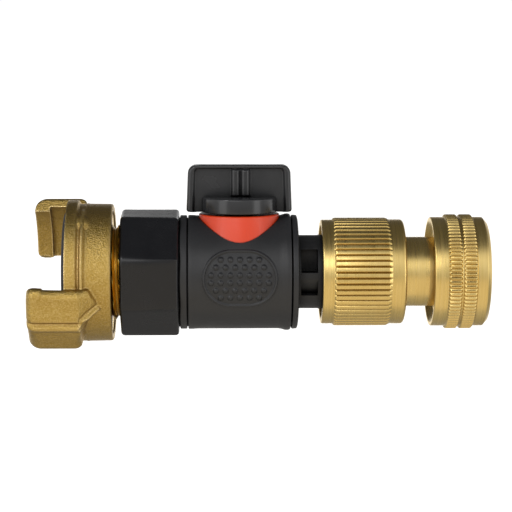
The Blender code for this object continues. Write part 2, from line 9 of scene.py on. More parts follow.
import bmesh
import bpy
from mathutils import Matrix, Vector


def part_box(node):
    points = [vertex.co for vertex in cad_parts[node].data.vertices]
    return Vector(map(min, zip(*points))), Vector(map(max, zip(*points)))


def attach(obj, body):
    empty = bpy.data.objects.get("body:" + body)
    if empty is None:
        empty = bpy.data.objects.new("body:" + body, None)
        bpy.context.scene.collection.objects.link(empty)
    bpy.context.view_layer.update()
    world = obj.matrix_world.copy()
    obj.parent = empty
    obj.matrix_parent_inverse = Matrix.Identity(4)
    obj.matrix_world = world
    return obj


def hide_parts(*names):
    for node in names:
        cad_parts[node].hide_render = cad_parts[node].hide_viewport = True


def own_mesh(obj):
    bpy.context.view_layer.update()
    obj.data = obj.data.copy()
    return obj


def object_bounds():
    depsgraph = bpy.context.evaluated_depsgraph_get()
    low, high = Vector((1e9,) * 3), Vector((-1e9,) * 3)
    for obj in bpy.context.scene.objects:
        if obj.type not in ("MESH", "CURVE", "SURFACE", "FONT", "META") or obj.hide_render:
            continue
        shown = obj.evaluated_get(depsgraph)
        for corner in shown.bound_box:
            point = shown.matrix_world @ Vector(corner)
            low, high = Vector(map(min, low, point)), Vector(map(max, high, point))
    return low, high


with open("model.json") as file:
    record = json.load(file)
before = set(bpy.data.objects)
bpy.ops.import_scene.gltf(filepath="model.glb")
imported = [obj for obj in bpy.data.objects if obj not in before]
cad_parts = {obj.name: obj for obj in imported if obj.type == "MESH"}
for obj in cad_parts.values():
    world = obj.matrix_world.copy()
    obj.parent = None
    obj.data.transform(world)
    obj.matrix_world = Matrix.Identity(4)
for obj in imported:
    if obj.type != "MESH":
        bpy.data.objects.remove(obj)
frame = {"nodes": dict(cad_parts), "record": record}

CAD_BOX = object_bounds()
MM = 0.001
ROUND = 168                     # facets round a plain turned piece
STEM_X = (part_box("handle")[0].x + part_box("handle")[1].x) / 2 / MM


# ---------------------------------------------------------------- shapes

def extent(node):
    """Lowest and highest corner of a CAD node, in millimetres."""
    low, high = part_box(node)
    return low / MM, high / MM


def smooth_step(low, high, value):
    """Share from 0 to 1 that a value has covered between two bounds, eased at both ends."""
    share = min(1.0, max(0.0, (value - low) / (high - low)))
    return share * share * (3 - 2 * share)


def edge_drop(distance, radius):
    """How far a surface has fallen at a distance from its rounded edge."""
    if distance >= radius:
        return 0.0
    inward = radius - max(0.0, distance)
    return radius - sqrt(radius * radius - inward * inward)


def rounded(corners):
    """Closed outline from corners (x, y, fillet radius, share of relief), with arcs at the fillets."""
    outline = []
    count = len(corners)
    for i, corner in enumerate(corners):
        x, y, radius, relief = (*corner, 0.0, 0.0)[:4]
        here = Vector((x, y))
        if radius == 0:
            outline.append((x, y, relief))
            continue
        before = Vector(corners[i - 1][:2]) - here
        after = Vector(corners[(i + 1) % count][:2]) - here
        half = before.angle(after) / 2
        reach = min(radius / tan(half), 0.48 * min(before.length, after.length))
        radius = reach * tan(half)
        centre = here + (before.normalized() + after.normalized()).normalized() * (radius / sin(half))
        first = here + before.normalized() * reach - centre
        last = here + after.normalized() * reach - centre
        turn = pi - 2 * half
        steps = max(2, round(degrees(turn) / 18))
        for step in range(steps + 1):
            share = step / steps
            arm = (first * sin((1 - share) * turn) + last * sin(share * turn)) / sin(turn)
            outline.append((*(centre + arm), relief))
    return outline


def finished(name, bm, body=None, slot=None, *nodes, sharp=34.0, finish=None):
    """Turn a bmesh in millimetres into a piece that rides on a body and stands for CAD nodes.

    Without a body it is a tool, which only joins or cuts other pieces.
    """
    bmesh.ops.recalc_face_normals(bm, faces=bm.faces)
    bmesh.ops.scale(bm, vec=(MM, MM, MM), verts=bm.verts)
    mesh = bpy.data.meshes.new(name)
    bm.to_mesh(mesh)
    bm.free()
    made = bpy.data.objects.new(name, mesh)
    bpy.context.scene.collection.objects.link(made)
    settle(made, sharp)
    if body:
        mesh.materials.append(FINISHES[finish or slot])
        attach(made, body)
        if nodes:
            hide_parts(*nodes)
    return made


def settle(piece, sharp):
    piece.data.shade_smooth()
    piece.data.set_sharp_from_angle(angle=radians(sharp))


def apply_modifiers(piece, sharp=34.0):
    """Keep the mesh as its modifiers leave it."""
    depsgraph = bpy.context.evaluated_depsgraph_get()
    mesh = bpy.data.meshes.new_from_object(piece.evaluated_get(depsgraph))
    piece.modifiers.clear()
    piece.data = mesh
    settle(piece, sharp)


def combine(piece, operation, tools, sharp=34.0):
    """Join or cut a piece with tool objects, which are then removed."""
    for tool in tools:
        change = piece.modifiers.new("change", "BOOLEAN")
        change.operation = operation
        change.solver = "EXACT"
        change.material_mode = "TRANSFER"
        change.object = tool
    apply_modifiers(piece, sharp)
    for tool in tools:
        bpy.data.objects.remove(tool, do_unlink=True)


def turned_point(axis, along, radius, angle):
    if axis == "X":
        return Vector((along, radius * cos(angle), radius * sin(angle)))
    return Vector((STEM_X + radius * cos(angle), radius * sin(angle), along))


def turned(corners, segments=ROUND, axis="X", shape=None, angles=None):
    """Ring turned about the flow axis or the stem axis from a closed outline.

    shape(along, radius, share, angle) gives the radius of a point whose corner carries a share of relief.
    """
    outline = rounded(corners)
    angles = angles or [2 * pi * step / segments for step in range(segments)]
    bm = bmesh.new()
    columns = []
    for angle in angles:
        column = []
        for along, radius, share in outline:
            if shape and share:
                radius = shape(along, radius, share, angle)
            column.append(bm.verts.new(turned_point(axis, along, radius, angle)))
        columns.append(column)
    bridge(bm, columns, closed=True)
    return bm


def bridge(bm, columns, closed):
    """Skin a run of closed loops that have the same number of points."""
    pairs = list(zip(columns, columns[1:]))
    if closed:
        pairs.append((columns[-1], columns[0]))
    for here, there in pairs:
        for i in range(len(here)):
            j = (i + 1) % len(here)
            bm.faces.new((here[i], here[j], there[j], there[i]))


def capped(bm, columns):
    """Skin a run of loops and close both ends."""
    bridge(bm, columns, closed=False)
    bm.faces.new(columns[0])
    bm.faces.new(columns[-1])
    return bm


def block(low, high, bevel):
    """Box between two corners with rounded edges."""
    bm = bmesh.new()
    bmesh.ops.create_cube(bm, size=1.0)
    centre, size = (Vector(low) + Vector(high)) / 2, Vector(high) - Vector(low)
    fit = Matrix.Translation(centre) @ Matrix.Diagonal((*size, 1.0))
    bmesh.ops.transform(bm, matrix=fit, verts=bm.verts)
    bmesh.ops.bevel(bm, geom=bm.edges, offset=bevel, segments=3, profile=0.5, affect="EDGES")
    return bm


def plain_ring(node, bore, fillet=0.3, segments=ROUND):
    """Ring with a CAD node's outside size and its own bore."""
    low, high = extent(node)
    corners = [(low.x, bore), (low.x, high.y), (high.x, high.y), (high.x, bore)]
    return turned([(*corner, fillet) for corner in corners], segments)


def cone_tool(axis, *ends):
    """Solid cone or cylinder about an axis, from the place and radius of each end."""
    bm = bmesh.new()
    columns = []
    for along, radius in ends:
        points = [turned_point(axis, along, radius, 2 * pi * i / ROUND) for i in range(ROUND)]
        columns.append([bm.verts.new(point) for point in points])
    return finished("tool", capped(bm, columns))


# ---------------------------------------------------------------- materials

def link(tree, source, target):
    tree.links.new(source, target)


def add_node(tree, kind, inputs=(), **settings):
    """Shader node with its settings made and its inputs set or linked."""
    made = tree.nodes.new(kind)
    for name, value in settings.items():
        setattr(made, name, value)
    for key, value in dict(inputs).items():
        if isinstance(value, bpy.types.NodeSocket):
            link(tree, value, made.inputs[key])
        else:
            made.inputs[key].default_value = value
    return made


def math_node(tree, operation, *values, clamp=False):
    made = add_node(tree, "ShaderNodeMath", dict(enumerate(values)), operation=operation, use_clamp=clamp)
    return made.outputs[0]


def between(tree, value, low, high, from_low=0.0, from_high=1.0):
    """Value mapped to a range."""
    inputs = {"Value": value, "From Min": from_low, "From Max": from_high, "To Min": low, "To Max": high}
    return add_node(tree, "ShaderNodeMapRange", inputs).outputs["Result"]


def blend_colours(tree, share, first, second):
    mix = add_node(tree, "ShaderNodeMix", data_type="RGBA")
    for socket, value in ((mix.inputs[0], share), (mix.inputs[6], first), (mix.inputs[7], second)):
        if isinstance(value, bpy.types.NodeSocket):
            link(tree, value, socket)
        else:
            socket.default_value = value
    return mix.outputs[2]


def noise(tree, vector, scale, detail=3.0, roughness=0.5):
    inputs = {"Vector": vector, "Scale": scale, "Detail": detail, "Roughness": roughness}
    return add_node(tree, "ShaderNodeTexNoise", inputs).outputs[0]


def place(tree):
    """Position on the piece, in metres."""
    return add_node(tree, "ShaderNodeTexCoord").outputs["Object"]


def lathe_space(tree):
    """Coordinates that change along the flow axis and with the radius, and hardly round the axis."""
    axes = add_node(tree, "ShaderNodeSeparateXYZ", {"Vector": place(tree)})
    y, z = axes.outputs["Y"], axes.outputs["Z"]
    radius = math_node(tree, "SQRT", math_node(tree, "ADD", math_node(tree, "MULTIPLY", y, y),
                                               math_node(tree, "MULTIPLY", z, z)))
    drift = math_node(tree, "MULTIPLY", math_node(tree, "ADD", y, z), 0.02)
    parts = {"X": axes.outputs["X"], "Y": radius, "Z": drift}
    return add_node(tree, "ShaderNodeCombineXYZ", parts).outputs[0]


def edge_share(tree, radius, strength):
    """From 0 on flat surface to 1 on a convex or concave edge."""
    soft = add_node(tree, "ShaderNodeBevel", {"Radius": radius}, samples=4).outputs["Normal"]
    true = add_node(tree, "ShaderNodeNewGeometry").outputs["Normal"]
    same = add_node(tree, "ShaderNodeVectorMath", {0: soft, 1: true}, operation="DOT_PRODUCT")
    difference = math_node(tree, "SUBTRACT", 1.0, same.outputs["Value"])
    return math_node(tree, "MULTIPLY", difference, strength, clamp=True)


def openness(tree, reach):
    """Mask for painted shade, from ambient occlusion: 0 deep in a pocket or gap, 1 on open surface."""
    open_share = add_node(tree, "ShaderNodeAmbientOcclusion", {"Distance": reach}, samples=6).outputs["AO"]
    return between(tree, open_share, 0.0, 1.0, 0.32, 0.86)


def bump(tree, height, depth, normal=None, strength=1.0):
    """Surface normal from a height between 0 and 1 that spans a depth in metres."""
    inputs = {"Height": height, "Distance": depth, "Strength": strength}
    if normal:
        inputs["Normal"] = normal
    return add_node(tree, "ShaderNodeBump", inputs).outputs["Normal"]


def material(name, **constants):
    """Material with a Principled shader whose constant sockets are set directly."""
    made = bpy.data.materials.new(name)
    made.use_nodes = True
    shader = made.node_tree.nodes["Principled BSDF"]
    for key, value in constants.items():
        shader.inputs[key.replace("_", " ")].default_value = value
    return made, made.node_tree, shader


def cast_brass():
    """Sand-cast brass: granular skin, painted shade in the hollows, and rubbed edges lightened, which is
    also a painted highlight.
    """
    made, tree, shader = material("cast_brass", Metallic=1.0)
    grain = noise(tree, place(tree), 2300.0, 3.0, 0.65)
    lumps = noise(tree, place(tree), 520.0, 2.0)
    stain = noise(tree, place(tree), 90.0, 3.0)
    edge_wear_and_highlight = edge_share(tree, 0.0006, 7.0)
    tone = blend_colours(tree, stain, (0.345, 0.218, 0.046, 1), (0.465, 0.312, 0.084, 1))
    tone = blend_colours(tree, between(tree, grain, 0.0, 0.65, 0.42, 0.72), tone, (0.66, 0.49, 0.20, 1))
    # Edges lightened: partly rubbed metal, partly a painted highlight.
    tone = blend_colours(tree, edge_wear_and_highlight, tone, (0.95, 0.76, 0.40, 1))
    # Painted shade: hollows and gaps darkened through ambient occlusion.
    tone = blend_colours(tree, openness(tree, 0.0018), (0.20, 0.10, 0.02, 1), tone)
    link(tree, tone, shader.inputs["Base Color"])
    polish = math_node(tree, "MULTIPLY", edge_wear_and_highlight, 0.12)
    rough = math_node(tree, "SUBTRACT", between(tree, grain, 0.27, 0.42), polish)
    link(tree, rough, shader.inputs["Roughness"])
    relief = bump(tree, lumps, 0.00015)
    link(tree, bump(tree, grain, 0.00024, relief), shader.inputs["Normal"])
    return made


def turned_brass(name, low, high, roughness, line_depth):
    """Brass from the lathe: fine lines round the axis, and painted shade in hollows and gaps."""
    made, tree, shader = material(name, Metallic=1.0, Anisotropic=0.45)
    space = lathe_space(tree)
    lines = noise(tree, space, 5200.0, 2.0, 0.7)
    bands = noise(tree, space, 900.0, 2.0)
    stain = noise(tree, place(tree), 60.0, 2.0)
    both = math_node(tree, "MULTIPLY", math_node(tree, "ADD", lines, stain), 0.5)
    tone = blend_colours(tree, between(tree, both, 0.0, 1.0, 0.35, 0.65), (*low, 1), (*high, 1))
    # Painted shade: hollows and gaps darkened through ambient occlusion.
    painted_hollow_shade = [channel * share for channel, share in zip(low, (0.30, 0.22, 0.15))]
    tone = blend_colours(tree, openness(tree, 0.0012), (*painted_hollow_shade, 1), tone)
    link(tree, tone, shader.inputs["Base Color"])
    rough = between(tree, bands, roughness - 0.05, roughness + 0.07, 0.3, 0.7)
    link(tree, rough, shader.inputs["Roughness"])
    link(tree, bump(tree, lines, line_depth), shader.inputs["Normal"])
    around = add_node(tree, "ShaderNodeTangent", direction_type="RADIAL", axis="X").outputs[0]
    link(tree, around, shader.inputs["Tangent"])
    return made


def moulded(name, low, high, roughness, grain_scale, grain_depth, gloss):
    """Moulded plastic or rubber: fine mould texture, faint mottling, softly rounded edges lightened for wear
    and as a painted highlight, and painted shade in pockets and gaps.
    """
    made, tree, shader = material(name)
    grain = noise(tree, place(tree), grain_scale, 2.0, 0.6)
    haze = noise(tree, place(tree), 140.0, 3.0)
    edge_wear_and_highlight = edge_share(tree, 0.0003, 2.0)
    tone = blend_colours(tree, haze, (*low, 1), (*high, 1))
    # Edges lightened: partly wear, partly a painted highlight.
    lighter = [min(1.0, channel * 1.6 + 0.01) for channel in high]
    tone = blend_colours(tree, math_node(tree, "MULTIPLY", edge_wear_and_highlight, 0.5), tone, (*lighter, 1))
    # Painted shade: pockets and gaps darkened in colour and given less specular reflection.
    open_share = openness(tree, 0.0048)
    painted_pocket_shade = [channel * 0.12 for channel in low]
    tone = blend_colours(tree, open_share, (*painted_pocket_shade, 1), tone)
    link(tree, tone, shader.inputs["Base Color"])
    link(tree, between(tree, open_share, 0.03, gloss), shader.inputs["Specular IOR Level"])
    rough = between(tree, haze, roughness - 0.05, roughness + 0.06, 0.3, 0.7)
    link(tree, rough, shader.inputs["Roughness"])
    soft = add_node(tree, "ShaderNodeBevel", {"Radius": 0.00015}, samples=4).outputs["Normal"]
    link(tree, bump(tree, grain, grain_depth, soft), shader.inputs["Normal"])
    return made


def plated_steel():
    made, tree, shader = material("plated_steel", Metallic=1.0)
    haze = noise(tree, place(tree), 700.0, 3.0)
    tone = blend_colours(tree, haze, (0.50, 0.50, 0.51, 1), (0.68, 0.68, 0.67, 1))
    link(tree, tone, shader.inputs["Base Color"])
    link(tree, between(tree, haze, 0.16, 0.32), shader.inputs["Roughness"])
    link(tree, bump(tree, noise(tree, place(tree), 4000.0), 0.000008), shader.inputs["Normal"])
    return made


TURNED_BRASSES = {              # darker and lighter colour, roughness, depth of the lathe lines
    "turned_brass": ((0.64, 0.455, 0.145), (0.78, 0.585, 0.235), 0.27, 0.000016),
    # Hub brass: a golden machined tone, raised further to paint light into the shade between the union nut
    # and the hub.
    "hub_brass_painted_lighter": ((0.78, 0.50, 0.10), (0.92, 0.66, 0.20), 0.26, 0.000012),
}
MOULDINGS = {                   # darker and lighter colour, roughness, scale and depth of the grain, gloss
    "black_gloss_plastic": ((0.007, 0.0073, 0.009), (0.011, 0.0113, 0.013), 0.24, 3000.0, 0.000006, 0.36),
    "handle_plastic": ((0.017, 0.0175, 0.019), (0.026, 0.0265, 0.029), 0.22, 3000.0, 0.000008, 0.5),
    "black_soft_plastic": ((0.017, 0.0175, 0.019), (0.025, 0.0255, 0.028), 0.42, 5000.0, 0.00002, 0.38),
    "red_plastic": ((0.64, 0.040, 0.004), (0.72, 0.052, 0.007), 0.34, 2600.0, 0.000008, 0.5),
    "white_seat_plastic": ((0.78, 0.78, 0.76), (0.86, 0.86, 0.84), 0.42, 2600.0, 0.000008, 0.5),
    "black_rubber": ((0.014, 0.014, 0.016), (0.022, 0.022, 0.024), 0.62, 3500.0, 0.00002, 0.5),
}


def make_finishes():
    """One material for each slot of the record, and variants for the coupling's hub, whose brass is painted
    lighter against its shade, and the handle.
    """
    finishes = {"cast_brass": cast_brass(), "plated_steel": plated_steel()}
    for name, look in TURNED_BRASSES.items():
        finishes[name] = turned_brass(name, *look)
    for name, look in MOULDINGS.items():
        finishes[name] = moulded(name, *look)
    return finishes


# ---------------------------------------------------------------- claw coupling

CLAW_TIP_X, LIP_BACK_X = extent("claw_coupling")[0].x, -4.9
LIP_R, ARM_INNER_R = 18.95, 20.4
RIM_X, RIM_R, HUB_R, HUB_END_X = 1.0, 20.0, 18.95, 13.5
CLAW_EDGE, CLAW_RIDGE, CLAW_END = 6.0, 28.5, 57.5       # degrees below the horizontal
CLAW_RADII = (22.3, 24.2, 23.8)                         # outer radius at those angles
CLAW_BACK_X = 5.0                                       # where a claw starts to fall to the hub
CLAW_LAST_X, CLAW_ROOT_R = 11.0, HUB_R - 1.0            # where a claw ends inside the hub
LIP_RISE = 1.5                                          # degrees the lip stands above the arm
CREST_ANGLE, CREST_RISE, CREST_WIDTH = 33.0, 0.65, 3.2  # lit line below the groove
GROOVE_ANGLE, GROOVE_DEPTH, GROOVE_WIDTH = CLAW_RIDGE + 0.5, 0.95, 2.2
DISH_ANGLE, DISH_DEPTH, DISH_WIDTH, DISH_LENGTH = 16.0, 0.22, 9.0, 6.0
TIP_ROUNDING, TIP_ROUNDING_GAIN, TOP_ROUNDING, END_ROUNDING = 2.3, 1.2, 2.2, 1.6
BUTTRESS = ((CLAW_BACK_X, 31.5), (10.6, 23.5), (6.8, 4.5))   # (x, angle) of its ridge's start, apex and top
STOP_ANGLES, STOP_ROOT_R, STOP_RISE = (-39.0, -66.0), 17.9, 1.1
SEAL_R = (extent("coupling_seal")[1].y, 10.2)
THREAD_PITCH, THREAD_DEPTH, THREAD_R, BORE_R = 1.814, 1.1, 13.2, 9.0
VOXEL = 0.23


def facet_radius(angle):
    """Radius of the two flat facets of a claw at an angle below the horizontal."""
    upper = angle <= CLAW_RIDGE
    low, high = (CLAW_EDGE, CLAW_RIDGE) if upper else (CLAW_RIDGE, CLAW_END)
    r_low, r_high = CLAW_RADII[:2] if upper else CLAW_RADII[1:]
    span, from_low, from_high = radians(high - low), radians(angle - low), radians(high - angle)
    return r_low * r_high * sin(span) / (r_low * sin(from_low) + r_high * sin(from_high))


def beyond(line, x, s):
    """Distance of a point (x, arc) to the left of a line through two points."""
    (x0, s0), (x1, s1) = line
    length = hypot(x1 - x0, s1 - s0)
    return ((x1 - x0) * (s - s0) - (s1 - s0) * (x - x0)) / length


def claw_surface(x, angle):
    """Outer radius of a claw and its buttress."""
    arc = radians(angle) * RIM_R
    dish_x = 0.5 * (CLAW_TIP_X + CLAW_BACK_X)
    tip_rounding = TIP_ROUNDING + TIP_ROUNDING_GAIN * smooth_step(20.0, 54.0, angle)
    radius = facet_radius(angle)
    radius += CREST_RISE * swell(angle - CREST_ANGLE, CREST_WIDTH)
    radius -= GROOVE_DEPTH * swell(angle - GROOVE_ANGLE, GROOVE_WIDTH)
    radius -= edge_drop(x - CLAW_TIP_X, tip_rounding)
    radius -= edge_drop(radians(angle - first_angle(x)) * RIM_R, TOP_ROUNDING)
    radius -= DISH_DEPTH * swell(angle - DISH_ANGLE, DISH_WIDTH) * swell(x - dish_x, DISH_LENGTH)
    radius -= edge_drop(radians(CLAW_END - angle) * RIM_R, END_ROUNDING)
    if angle > CREST_ANGLE:
        radius -= edge_drop(CLAW_BACK_X + 0.6 - x, 2.2 * smooth_step(CREST_ANGLE, 50.0, angle) + 0.01)
    if x <= CLAW_BACK_X:
        return radius
    ridge, apex, top = [(px, radians(pa) * RIM_R) for px, pa in BUTTRESS]
    past = x - CLAW_BACK_X
    share = past / (apex[0] - CLAW_BACK_X)
    slope = radius + (HUB_R + 0.2 - radius) * min(1.0, share)
    if angle > CREST_ANGLE:
        return radius - 2.4 * max(0.0, past - 0.3)
    below = beyond((ridge, apex), x, arc)
    above = -beyond((top, apex), x, arc)
    bead = 0.6 * swell(below + 0.35, 0.8) - 0.5 * swell(below + 1.6, 0.8)
    return slope + bead - 2.2 * max(0.0, below) - 2.6 * max(0.0, above)


def swell(distance, half_width):
    """Rounded ridge of height 1 about a line."""
    away = min(1.0, abs(distance) / half_width)
    return 0.5 + 0.5 * cos(pi * away)


def first_angle(x):
    """Angle of a claw's upper edge, which stands higher on the lip and is rounded at the tip."""
    lip = LIP_RISE * smooth_step(LIP_BACK_X + 0.3, LIP_BACK_X - 0.3, x)
    return CLAW_EDGE - lip + degrees(edge_drop(x - CLAW_TIP_X, 1.9) / RIM_R)


def claw_body():
    """Claw with lip, arm, pad, groove, crest and buttress, as a closed mesh."""
    bm = bmesh.new()
    columns = []
    angle_steps, x_steps = 110, 92
    length = CLAW_LAST_X - CLAW_TIP_X
    outer = [(CLAW_TIP_X + length * step / x_steps, None) for step in range(x_steps + 1)]
    inner = [
        (CLAW_LAST_X, CLAW_ROOT_R - 0.5), (RIM_X - 0.3, CLAW_ROOT_R - 0.5), (RIM_X - 0.3, ARM_INNER_R - 0.2),
        (LIP_BACK_X, ARM_INNER_R - 0.2), (LIP_BACK_X, LIP_R - 0.2), (CLAW_TIP_X, LIP_R - 0.2),
    ]
    for i in range(angle_steps + 1):
        share = i / angle_steps
        points = []
        for x, radius in outer + inner:
            start = first_angle(x)
            angle = start + (CLAW_END - start) * share
            if radius is None:
                radius = max(CLAW_ROOT_R, claw_surface(x, angle))
            turn = radians(angle)
            points.append(bm.verts.new((x, -radius * cos(turn), -radius * sin(turn))))
        columns.append(points)
    return capped(bm, columns)


def hook_stop_body():
    """Rounded lug behind the rim, on the other side of each claw's gap."""
    bm = bmesh.new()
    columns = []
    (first, last), steps = STOP_ANGLES, 24
    for step in range(steps + 1):
        angle = first + (last - first) * step / steps
        edge = min(step, steps - step) / steps
        height = STOP_ROOT_R + 1.0 + STOP_RISE * smooth_step(0.0, 0.45, edge)
        outline = [
            (4.0, STOP_ROOT_R), (4.0, height - 0.5), (4.6, height), (6.4, height - 0.1),
            (7.3, height - 0.7), (7.5, STOP_ROOT_R),
        ]
        turn = radians(angle)
        columns.append([bm.verts.new((x, -r * cos(turn), -r * sin(turn))) for x, r in outline])
    return capped(bm, columns)


def make_coupling():
    """Casting with its two claws, the web and thread inside it, and the face seal."""
    inner_r, groove_r, bead_r = 17.0, 19.3, 20.15
    rim = [
        (RIM_X - 0.3, inner_r), (RIM_X - 0.3, RIM_R, 0.5), (3.9, RIM_R, 0.3),
        (4.45, groove_r, 0.2, 0.3), (4.85, groove_r, 0.2, 0.3), (5.3, bead_r, 0.25, 1.0),
        (5.75, bead_r, 0.3, 1.0), (6.6, HUB_R + 0.1, 0.4), (HUB_END_X, HUB_R, 0.7), (HUB_END_X, inner_r),
    ]

    def bead(along, radius, share, angle):
        """Keep the raised bead only between a lug and the next claw."""
        below = (degrees(angle) + 90.0) % 180.0 - 90.0
        present = smooth_step(-74.0, -62.0, below) * smooth_step(46.0, 34.0, below)
        return radius - 1.1 * share * (1 - present)

    casting = finished("coupling_casting", turned(rim, 240, shape=bead))
    lumps = []
    for turn in (0.0, pi):
        for shape in (claw_body, hook_stop_body):
            lump = finished("lump", shape())
            lump.data.transform(Matrix.Rotation(turn, 4, "X"))
            lumps.append(lump)
    join(casting, lumps)
    remesh = casting.modifiers.new("cast", "REMESH")
    remesh.mode = "VOXEL"
    remesh.voxel_size = VOXEL * MM
    soften = casting.modifiers.new("soften", "SMOOTH")
    soften.factor = 0.5
    soften.iterations = 3
    apply_modifiers(casting, 60.0)
    casting.data.materials.clear()
    casting.data.materials.append(FINISHES["cast_brass"])
    recess_x = extent("coupling_seal")[1].x + 0.3
    pocket = [
        (CLAW_TIP_X - 2.0, 4.0), (CLAW_TIP_X - 2.0, LIP_R), (LIP_BACK_X, LIP_R), (LIP_BACK_X, ARM_INNER_R),
        (RIM_X, ARM_INNER_R), (RIM_X, SEAL_R[0] + 0.3), (recess_x, SEAL_R[0] + 0.3), (recess_x + 6.0, 17.4),
        (recess_x + 6.0, 4.0),
    ]
    tool = finished("tool", turned(pocket, 240))
    tool.data.materials.append(FINISHES["cast_brass"])
    combine(casting, "DIFFERENCE", [tool])
    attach(casting, "claw_end")
    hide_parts("claw_coupling")

    web_r, core_r = 18.2, THREAD_R - THREAD_DEPTH - 0.1
    hub = [
        (recess_x, BORE_R, 0.3), (recess_x, web_r), (HUB_END_X - 0.5, web_r, 0.3), (HUB_END_X - 0.5, core_r),
        (recess_x + 3.0, core_r), (recess_x + 3.0, BORE_R),
    ]
    finished("coupling_web", turned(hub), "claw_end", "cast_brass", finish="hub_brass_painted_lighter")
    make_thread(HUB_END_X - 0.4, extent("claw_coupling")[1].x)
    seal_low, seal_high = extent("coupling_seal")
    seal = [
        (seal_low.x, SEAL_R[1] + 0.5, 0.3), (seal_low.x, SEAL_R[0] - 1.0, 0.5), (RIM_X, SEAL_R[0], 0.4),
        (seal_high.x, SEAL_R[0], 0.3), (seal_high.x, SEAL_R[1], 0.3), (seal_low.x + 0.6, SEAL_R[1], 0.2),
    ]
    finished("face_seal", turned(seal), "claw_end", "black_rubber", "coupling_seal")


def join(piece, others):
    """Put the meshes of other objects into a piece and remove those objects."""
    bm = bmesh.new()
    for source in (piece, *others):
        bm.from_mesh(source.data)
    bm.to_mesh(piece.data)
    bm.free()
    for other in others:
        bpy.data.objects.remove(other, do_unlink=True)


def make_thread(x0, x1):
    """Male pipe thread with the bore inside."""
    rows = round((x1 - x0) / THREAD_PITCH * 12)
    outer = [(x0 + (x1 - x0) * row / rows, THREAD_R, 0.0, 1.0) for row in range(rows + 1)]
    outline = outer + [(x1, BORE_R, 0.3), (x0, BORE_R)]

    def helix(along, radius, share, angle):
        phase = along / THREAD_PITCH - angle / (2 * pi)
        wave = 0.5 - 0.5 * cos(2 * pi * phase)
        runout = 0.9 * smooth_step(x1 - 0.9, x1, along)
        return radius - max(THREAD_DEPTH * wave ** 0.8, runout)

    thread = turned(outline, 144, shape=helix)
    finished("coupling_thread", thread, "claw_end", "cast_brass", sharp=50.0, finish="hub_brass_painted_lighter")


# ---------------------------------------------------------------- union nut, tail and collar

def make_union_nut():
    """Octagonal nut with drafted flats, and the washer, tailpiece and collar that it holds."""
    low, high = extent("inlet_nut")
    x0, x1 = low.x, high.x
    corner_r, turn, lip_r, lip_x = 18.0, -4.5, 10.2, 27.9
    apothem = corner_r * cos(pi / 8)

    def octagon(along, radius, share, angle):
        facet = (degrees(angle) + turn) % 45.0 - 22.5
        flat = apothem / cos(radians(22.5 - abs(facet)))
        drafted = flat * (1 - 0.012 * (along - x0) / (x1 - x0))
        corner_drop = edge_drop(min(along - x0, x1 - along), 1.0)
        return min(drafted, corner_r - 0.22) - corner_drop

    steps = (0.0, 0.04, 0.12, 0.25, 0.45, 0.7, 1.0)
    outer = [(x0 + step, corner_r, 0.0, 1.0) for step in steps]
    outer += [(x1 - step, corner_r, 0.0, 1.0) for step in reversed(steps)]
    bore = THREAD_R + 0.3
    inner = [
        (x1, lip_r, 0.4), (lip_x, lip_r), (lip_x, bore), (x0 + 1.0, bore, 0.3), (x0 + 0.4, bore + 0.7, 0.2),
        (x0, bore + 0.7, 0.2),
    ]
    angles = []
    facet_steps = 22
    for facet in range(8):
        for step in range(facet_steps):
            share = step / facet_steps
            eased = 0.5 - 0.5 * cos(pi * share)
            angles.append(radians(-turn + 45.0 * (facet + 0.6 * eased + 0.4 * share)))
    finished("union_nut_shell", turned(outer + inner, shape=octagon, angles=angles), "union_nut",
             "black_gloss_plastic", "inlet_nut", sharp=24.0)

    finished("union_washer", plain_ring("inlet_washer", BORE_R), "valve", "black_rubber", "inlet_washer")

    low, high = extent("inlet_tailpiece")
    flange_x, tail_r, tail_bore = 27.6, 9.8, 7.0
    tail = [
        (low.x, high.y, 0.3), (flange_x, high.y, 0.3), (flange_x, tail_r, 0.3), (high.x, tail_r, 0.3),
        (high.x, tail_bore, 0.3), (low.x, tail_bore, 0.6),
    ]
    finished("swivel_tail", turned(tail), "valve", "black_soft_plastic", "inlet_tailpiece")

    low, high = extent("inlet_end_cap")
    rim_x, plug_r, shoulder_r = low.x + 1.9, 12.4, 15.1
    nut_x, shell_x = x1 + 0.08, extent("body_shell")[0].x - 0.04    # shoulders close the view on both sides
    cap = [
        (low.x, high.y, 0.45), (rim_x, high.y, 0.3), (rim_x, shoulder_r), (shell_x, shoulder_r),
        (shell_x, plug_r), (high.x, plug_r, 0.3), (high.x, 10.1), (nut_x, 10.3), (nut_x, shoulder_r + 0.1),
        (low.x, shoulder_r + 0.1),
    ]
    finished("end_cap_ring", turned(cap), "valve", "black_soft_plastic", "inlet_end_cap")


# ---------------------------------------------------------------- valve

PAD_LENGTH, PAD_HEIGHT = 20.6, 16.3         # outside of the grip's raised border
PAD_BORDER, PAD_RAISE = 0.85, 0.42
DOT_ROWS, DOT_PITCH, DOT_R, DOT_RAISE = (5, 6, 7, 7, 6, 5), 2.6, 0.84, 0.5
DOT_ROW_PITCH = 2.12
TOWER = {"top": 16.4, "top_r": 11.1, "foot": 8.6, "foot_r": 12.4}


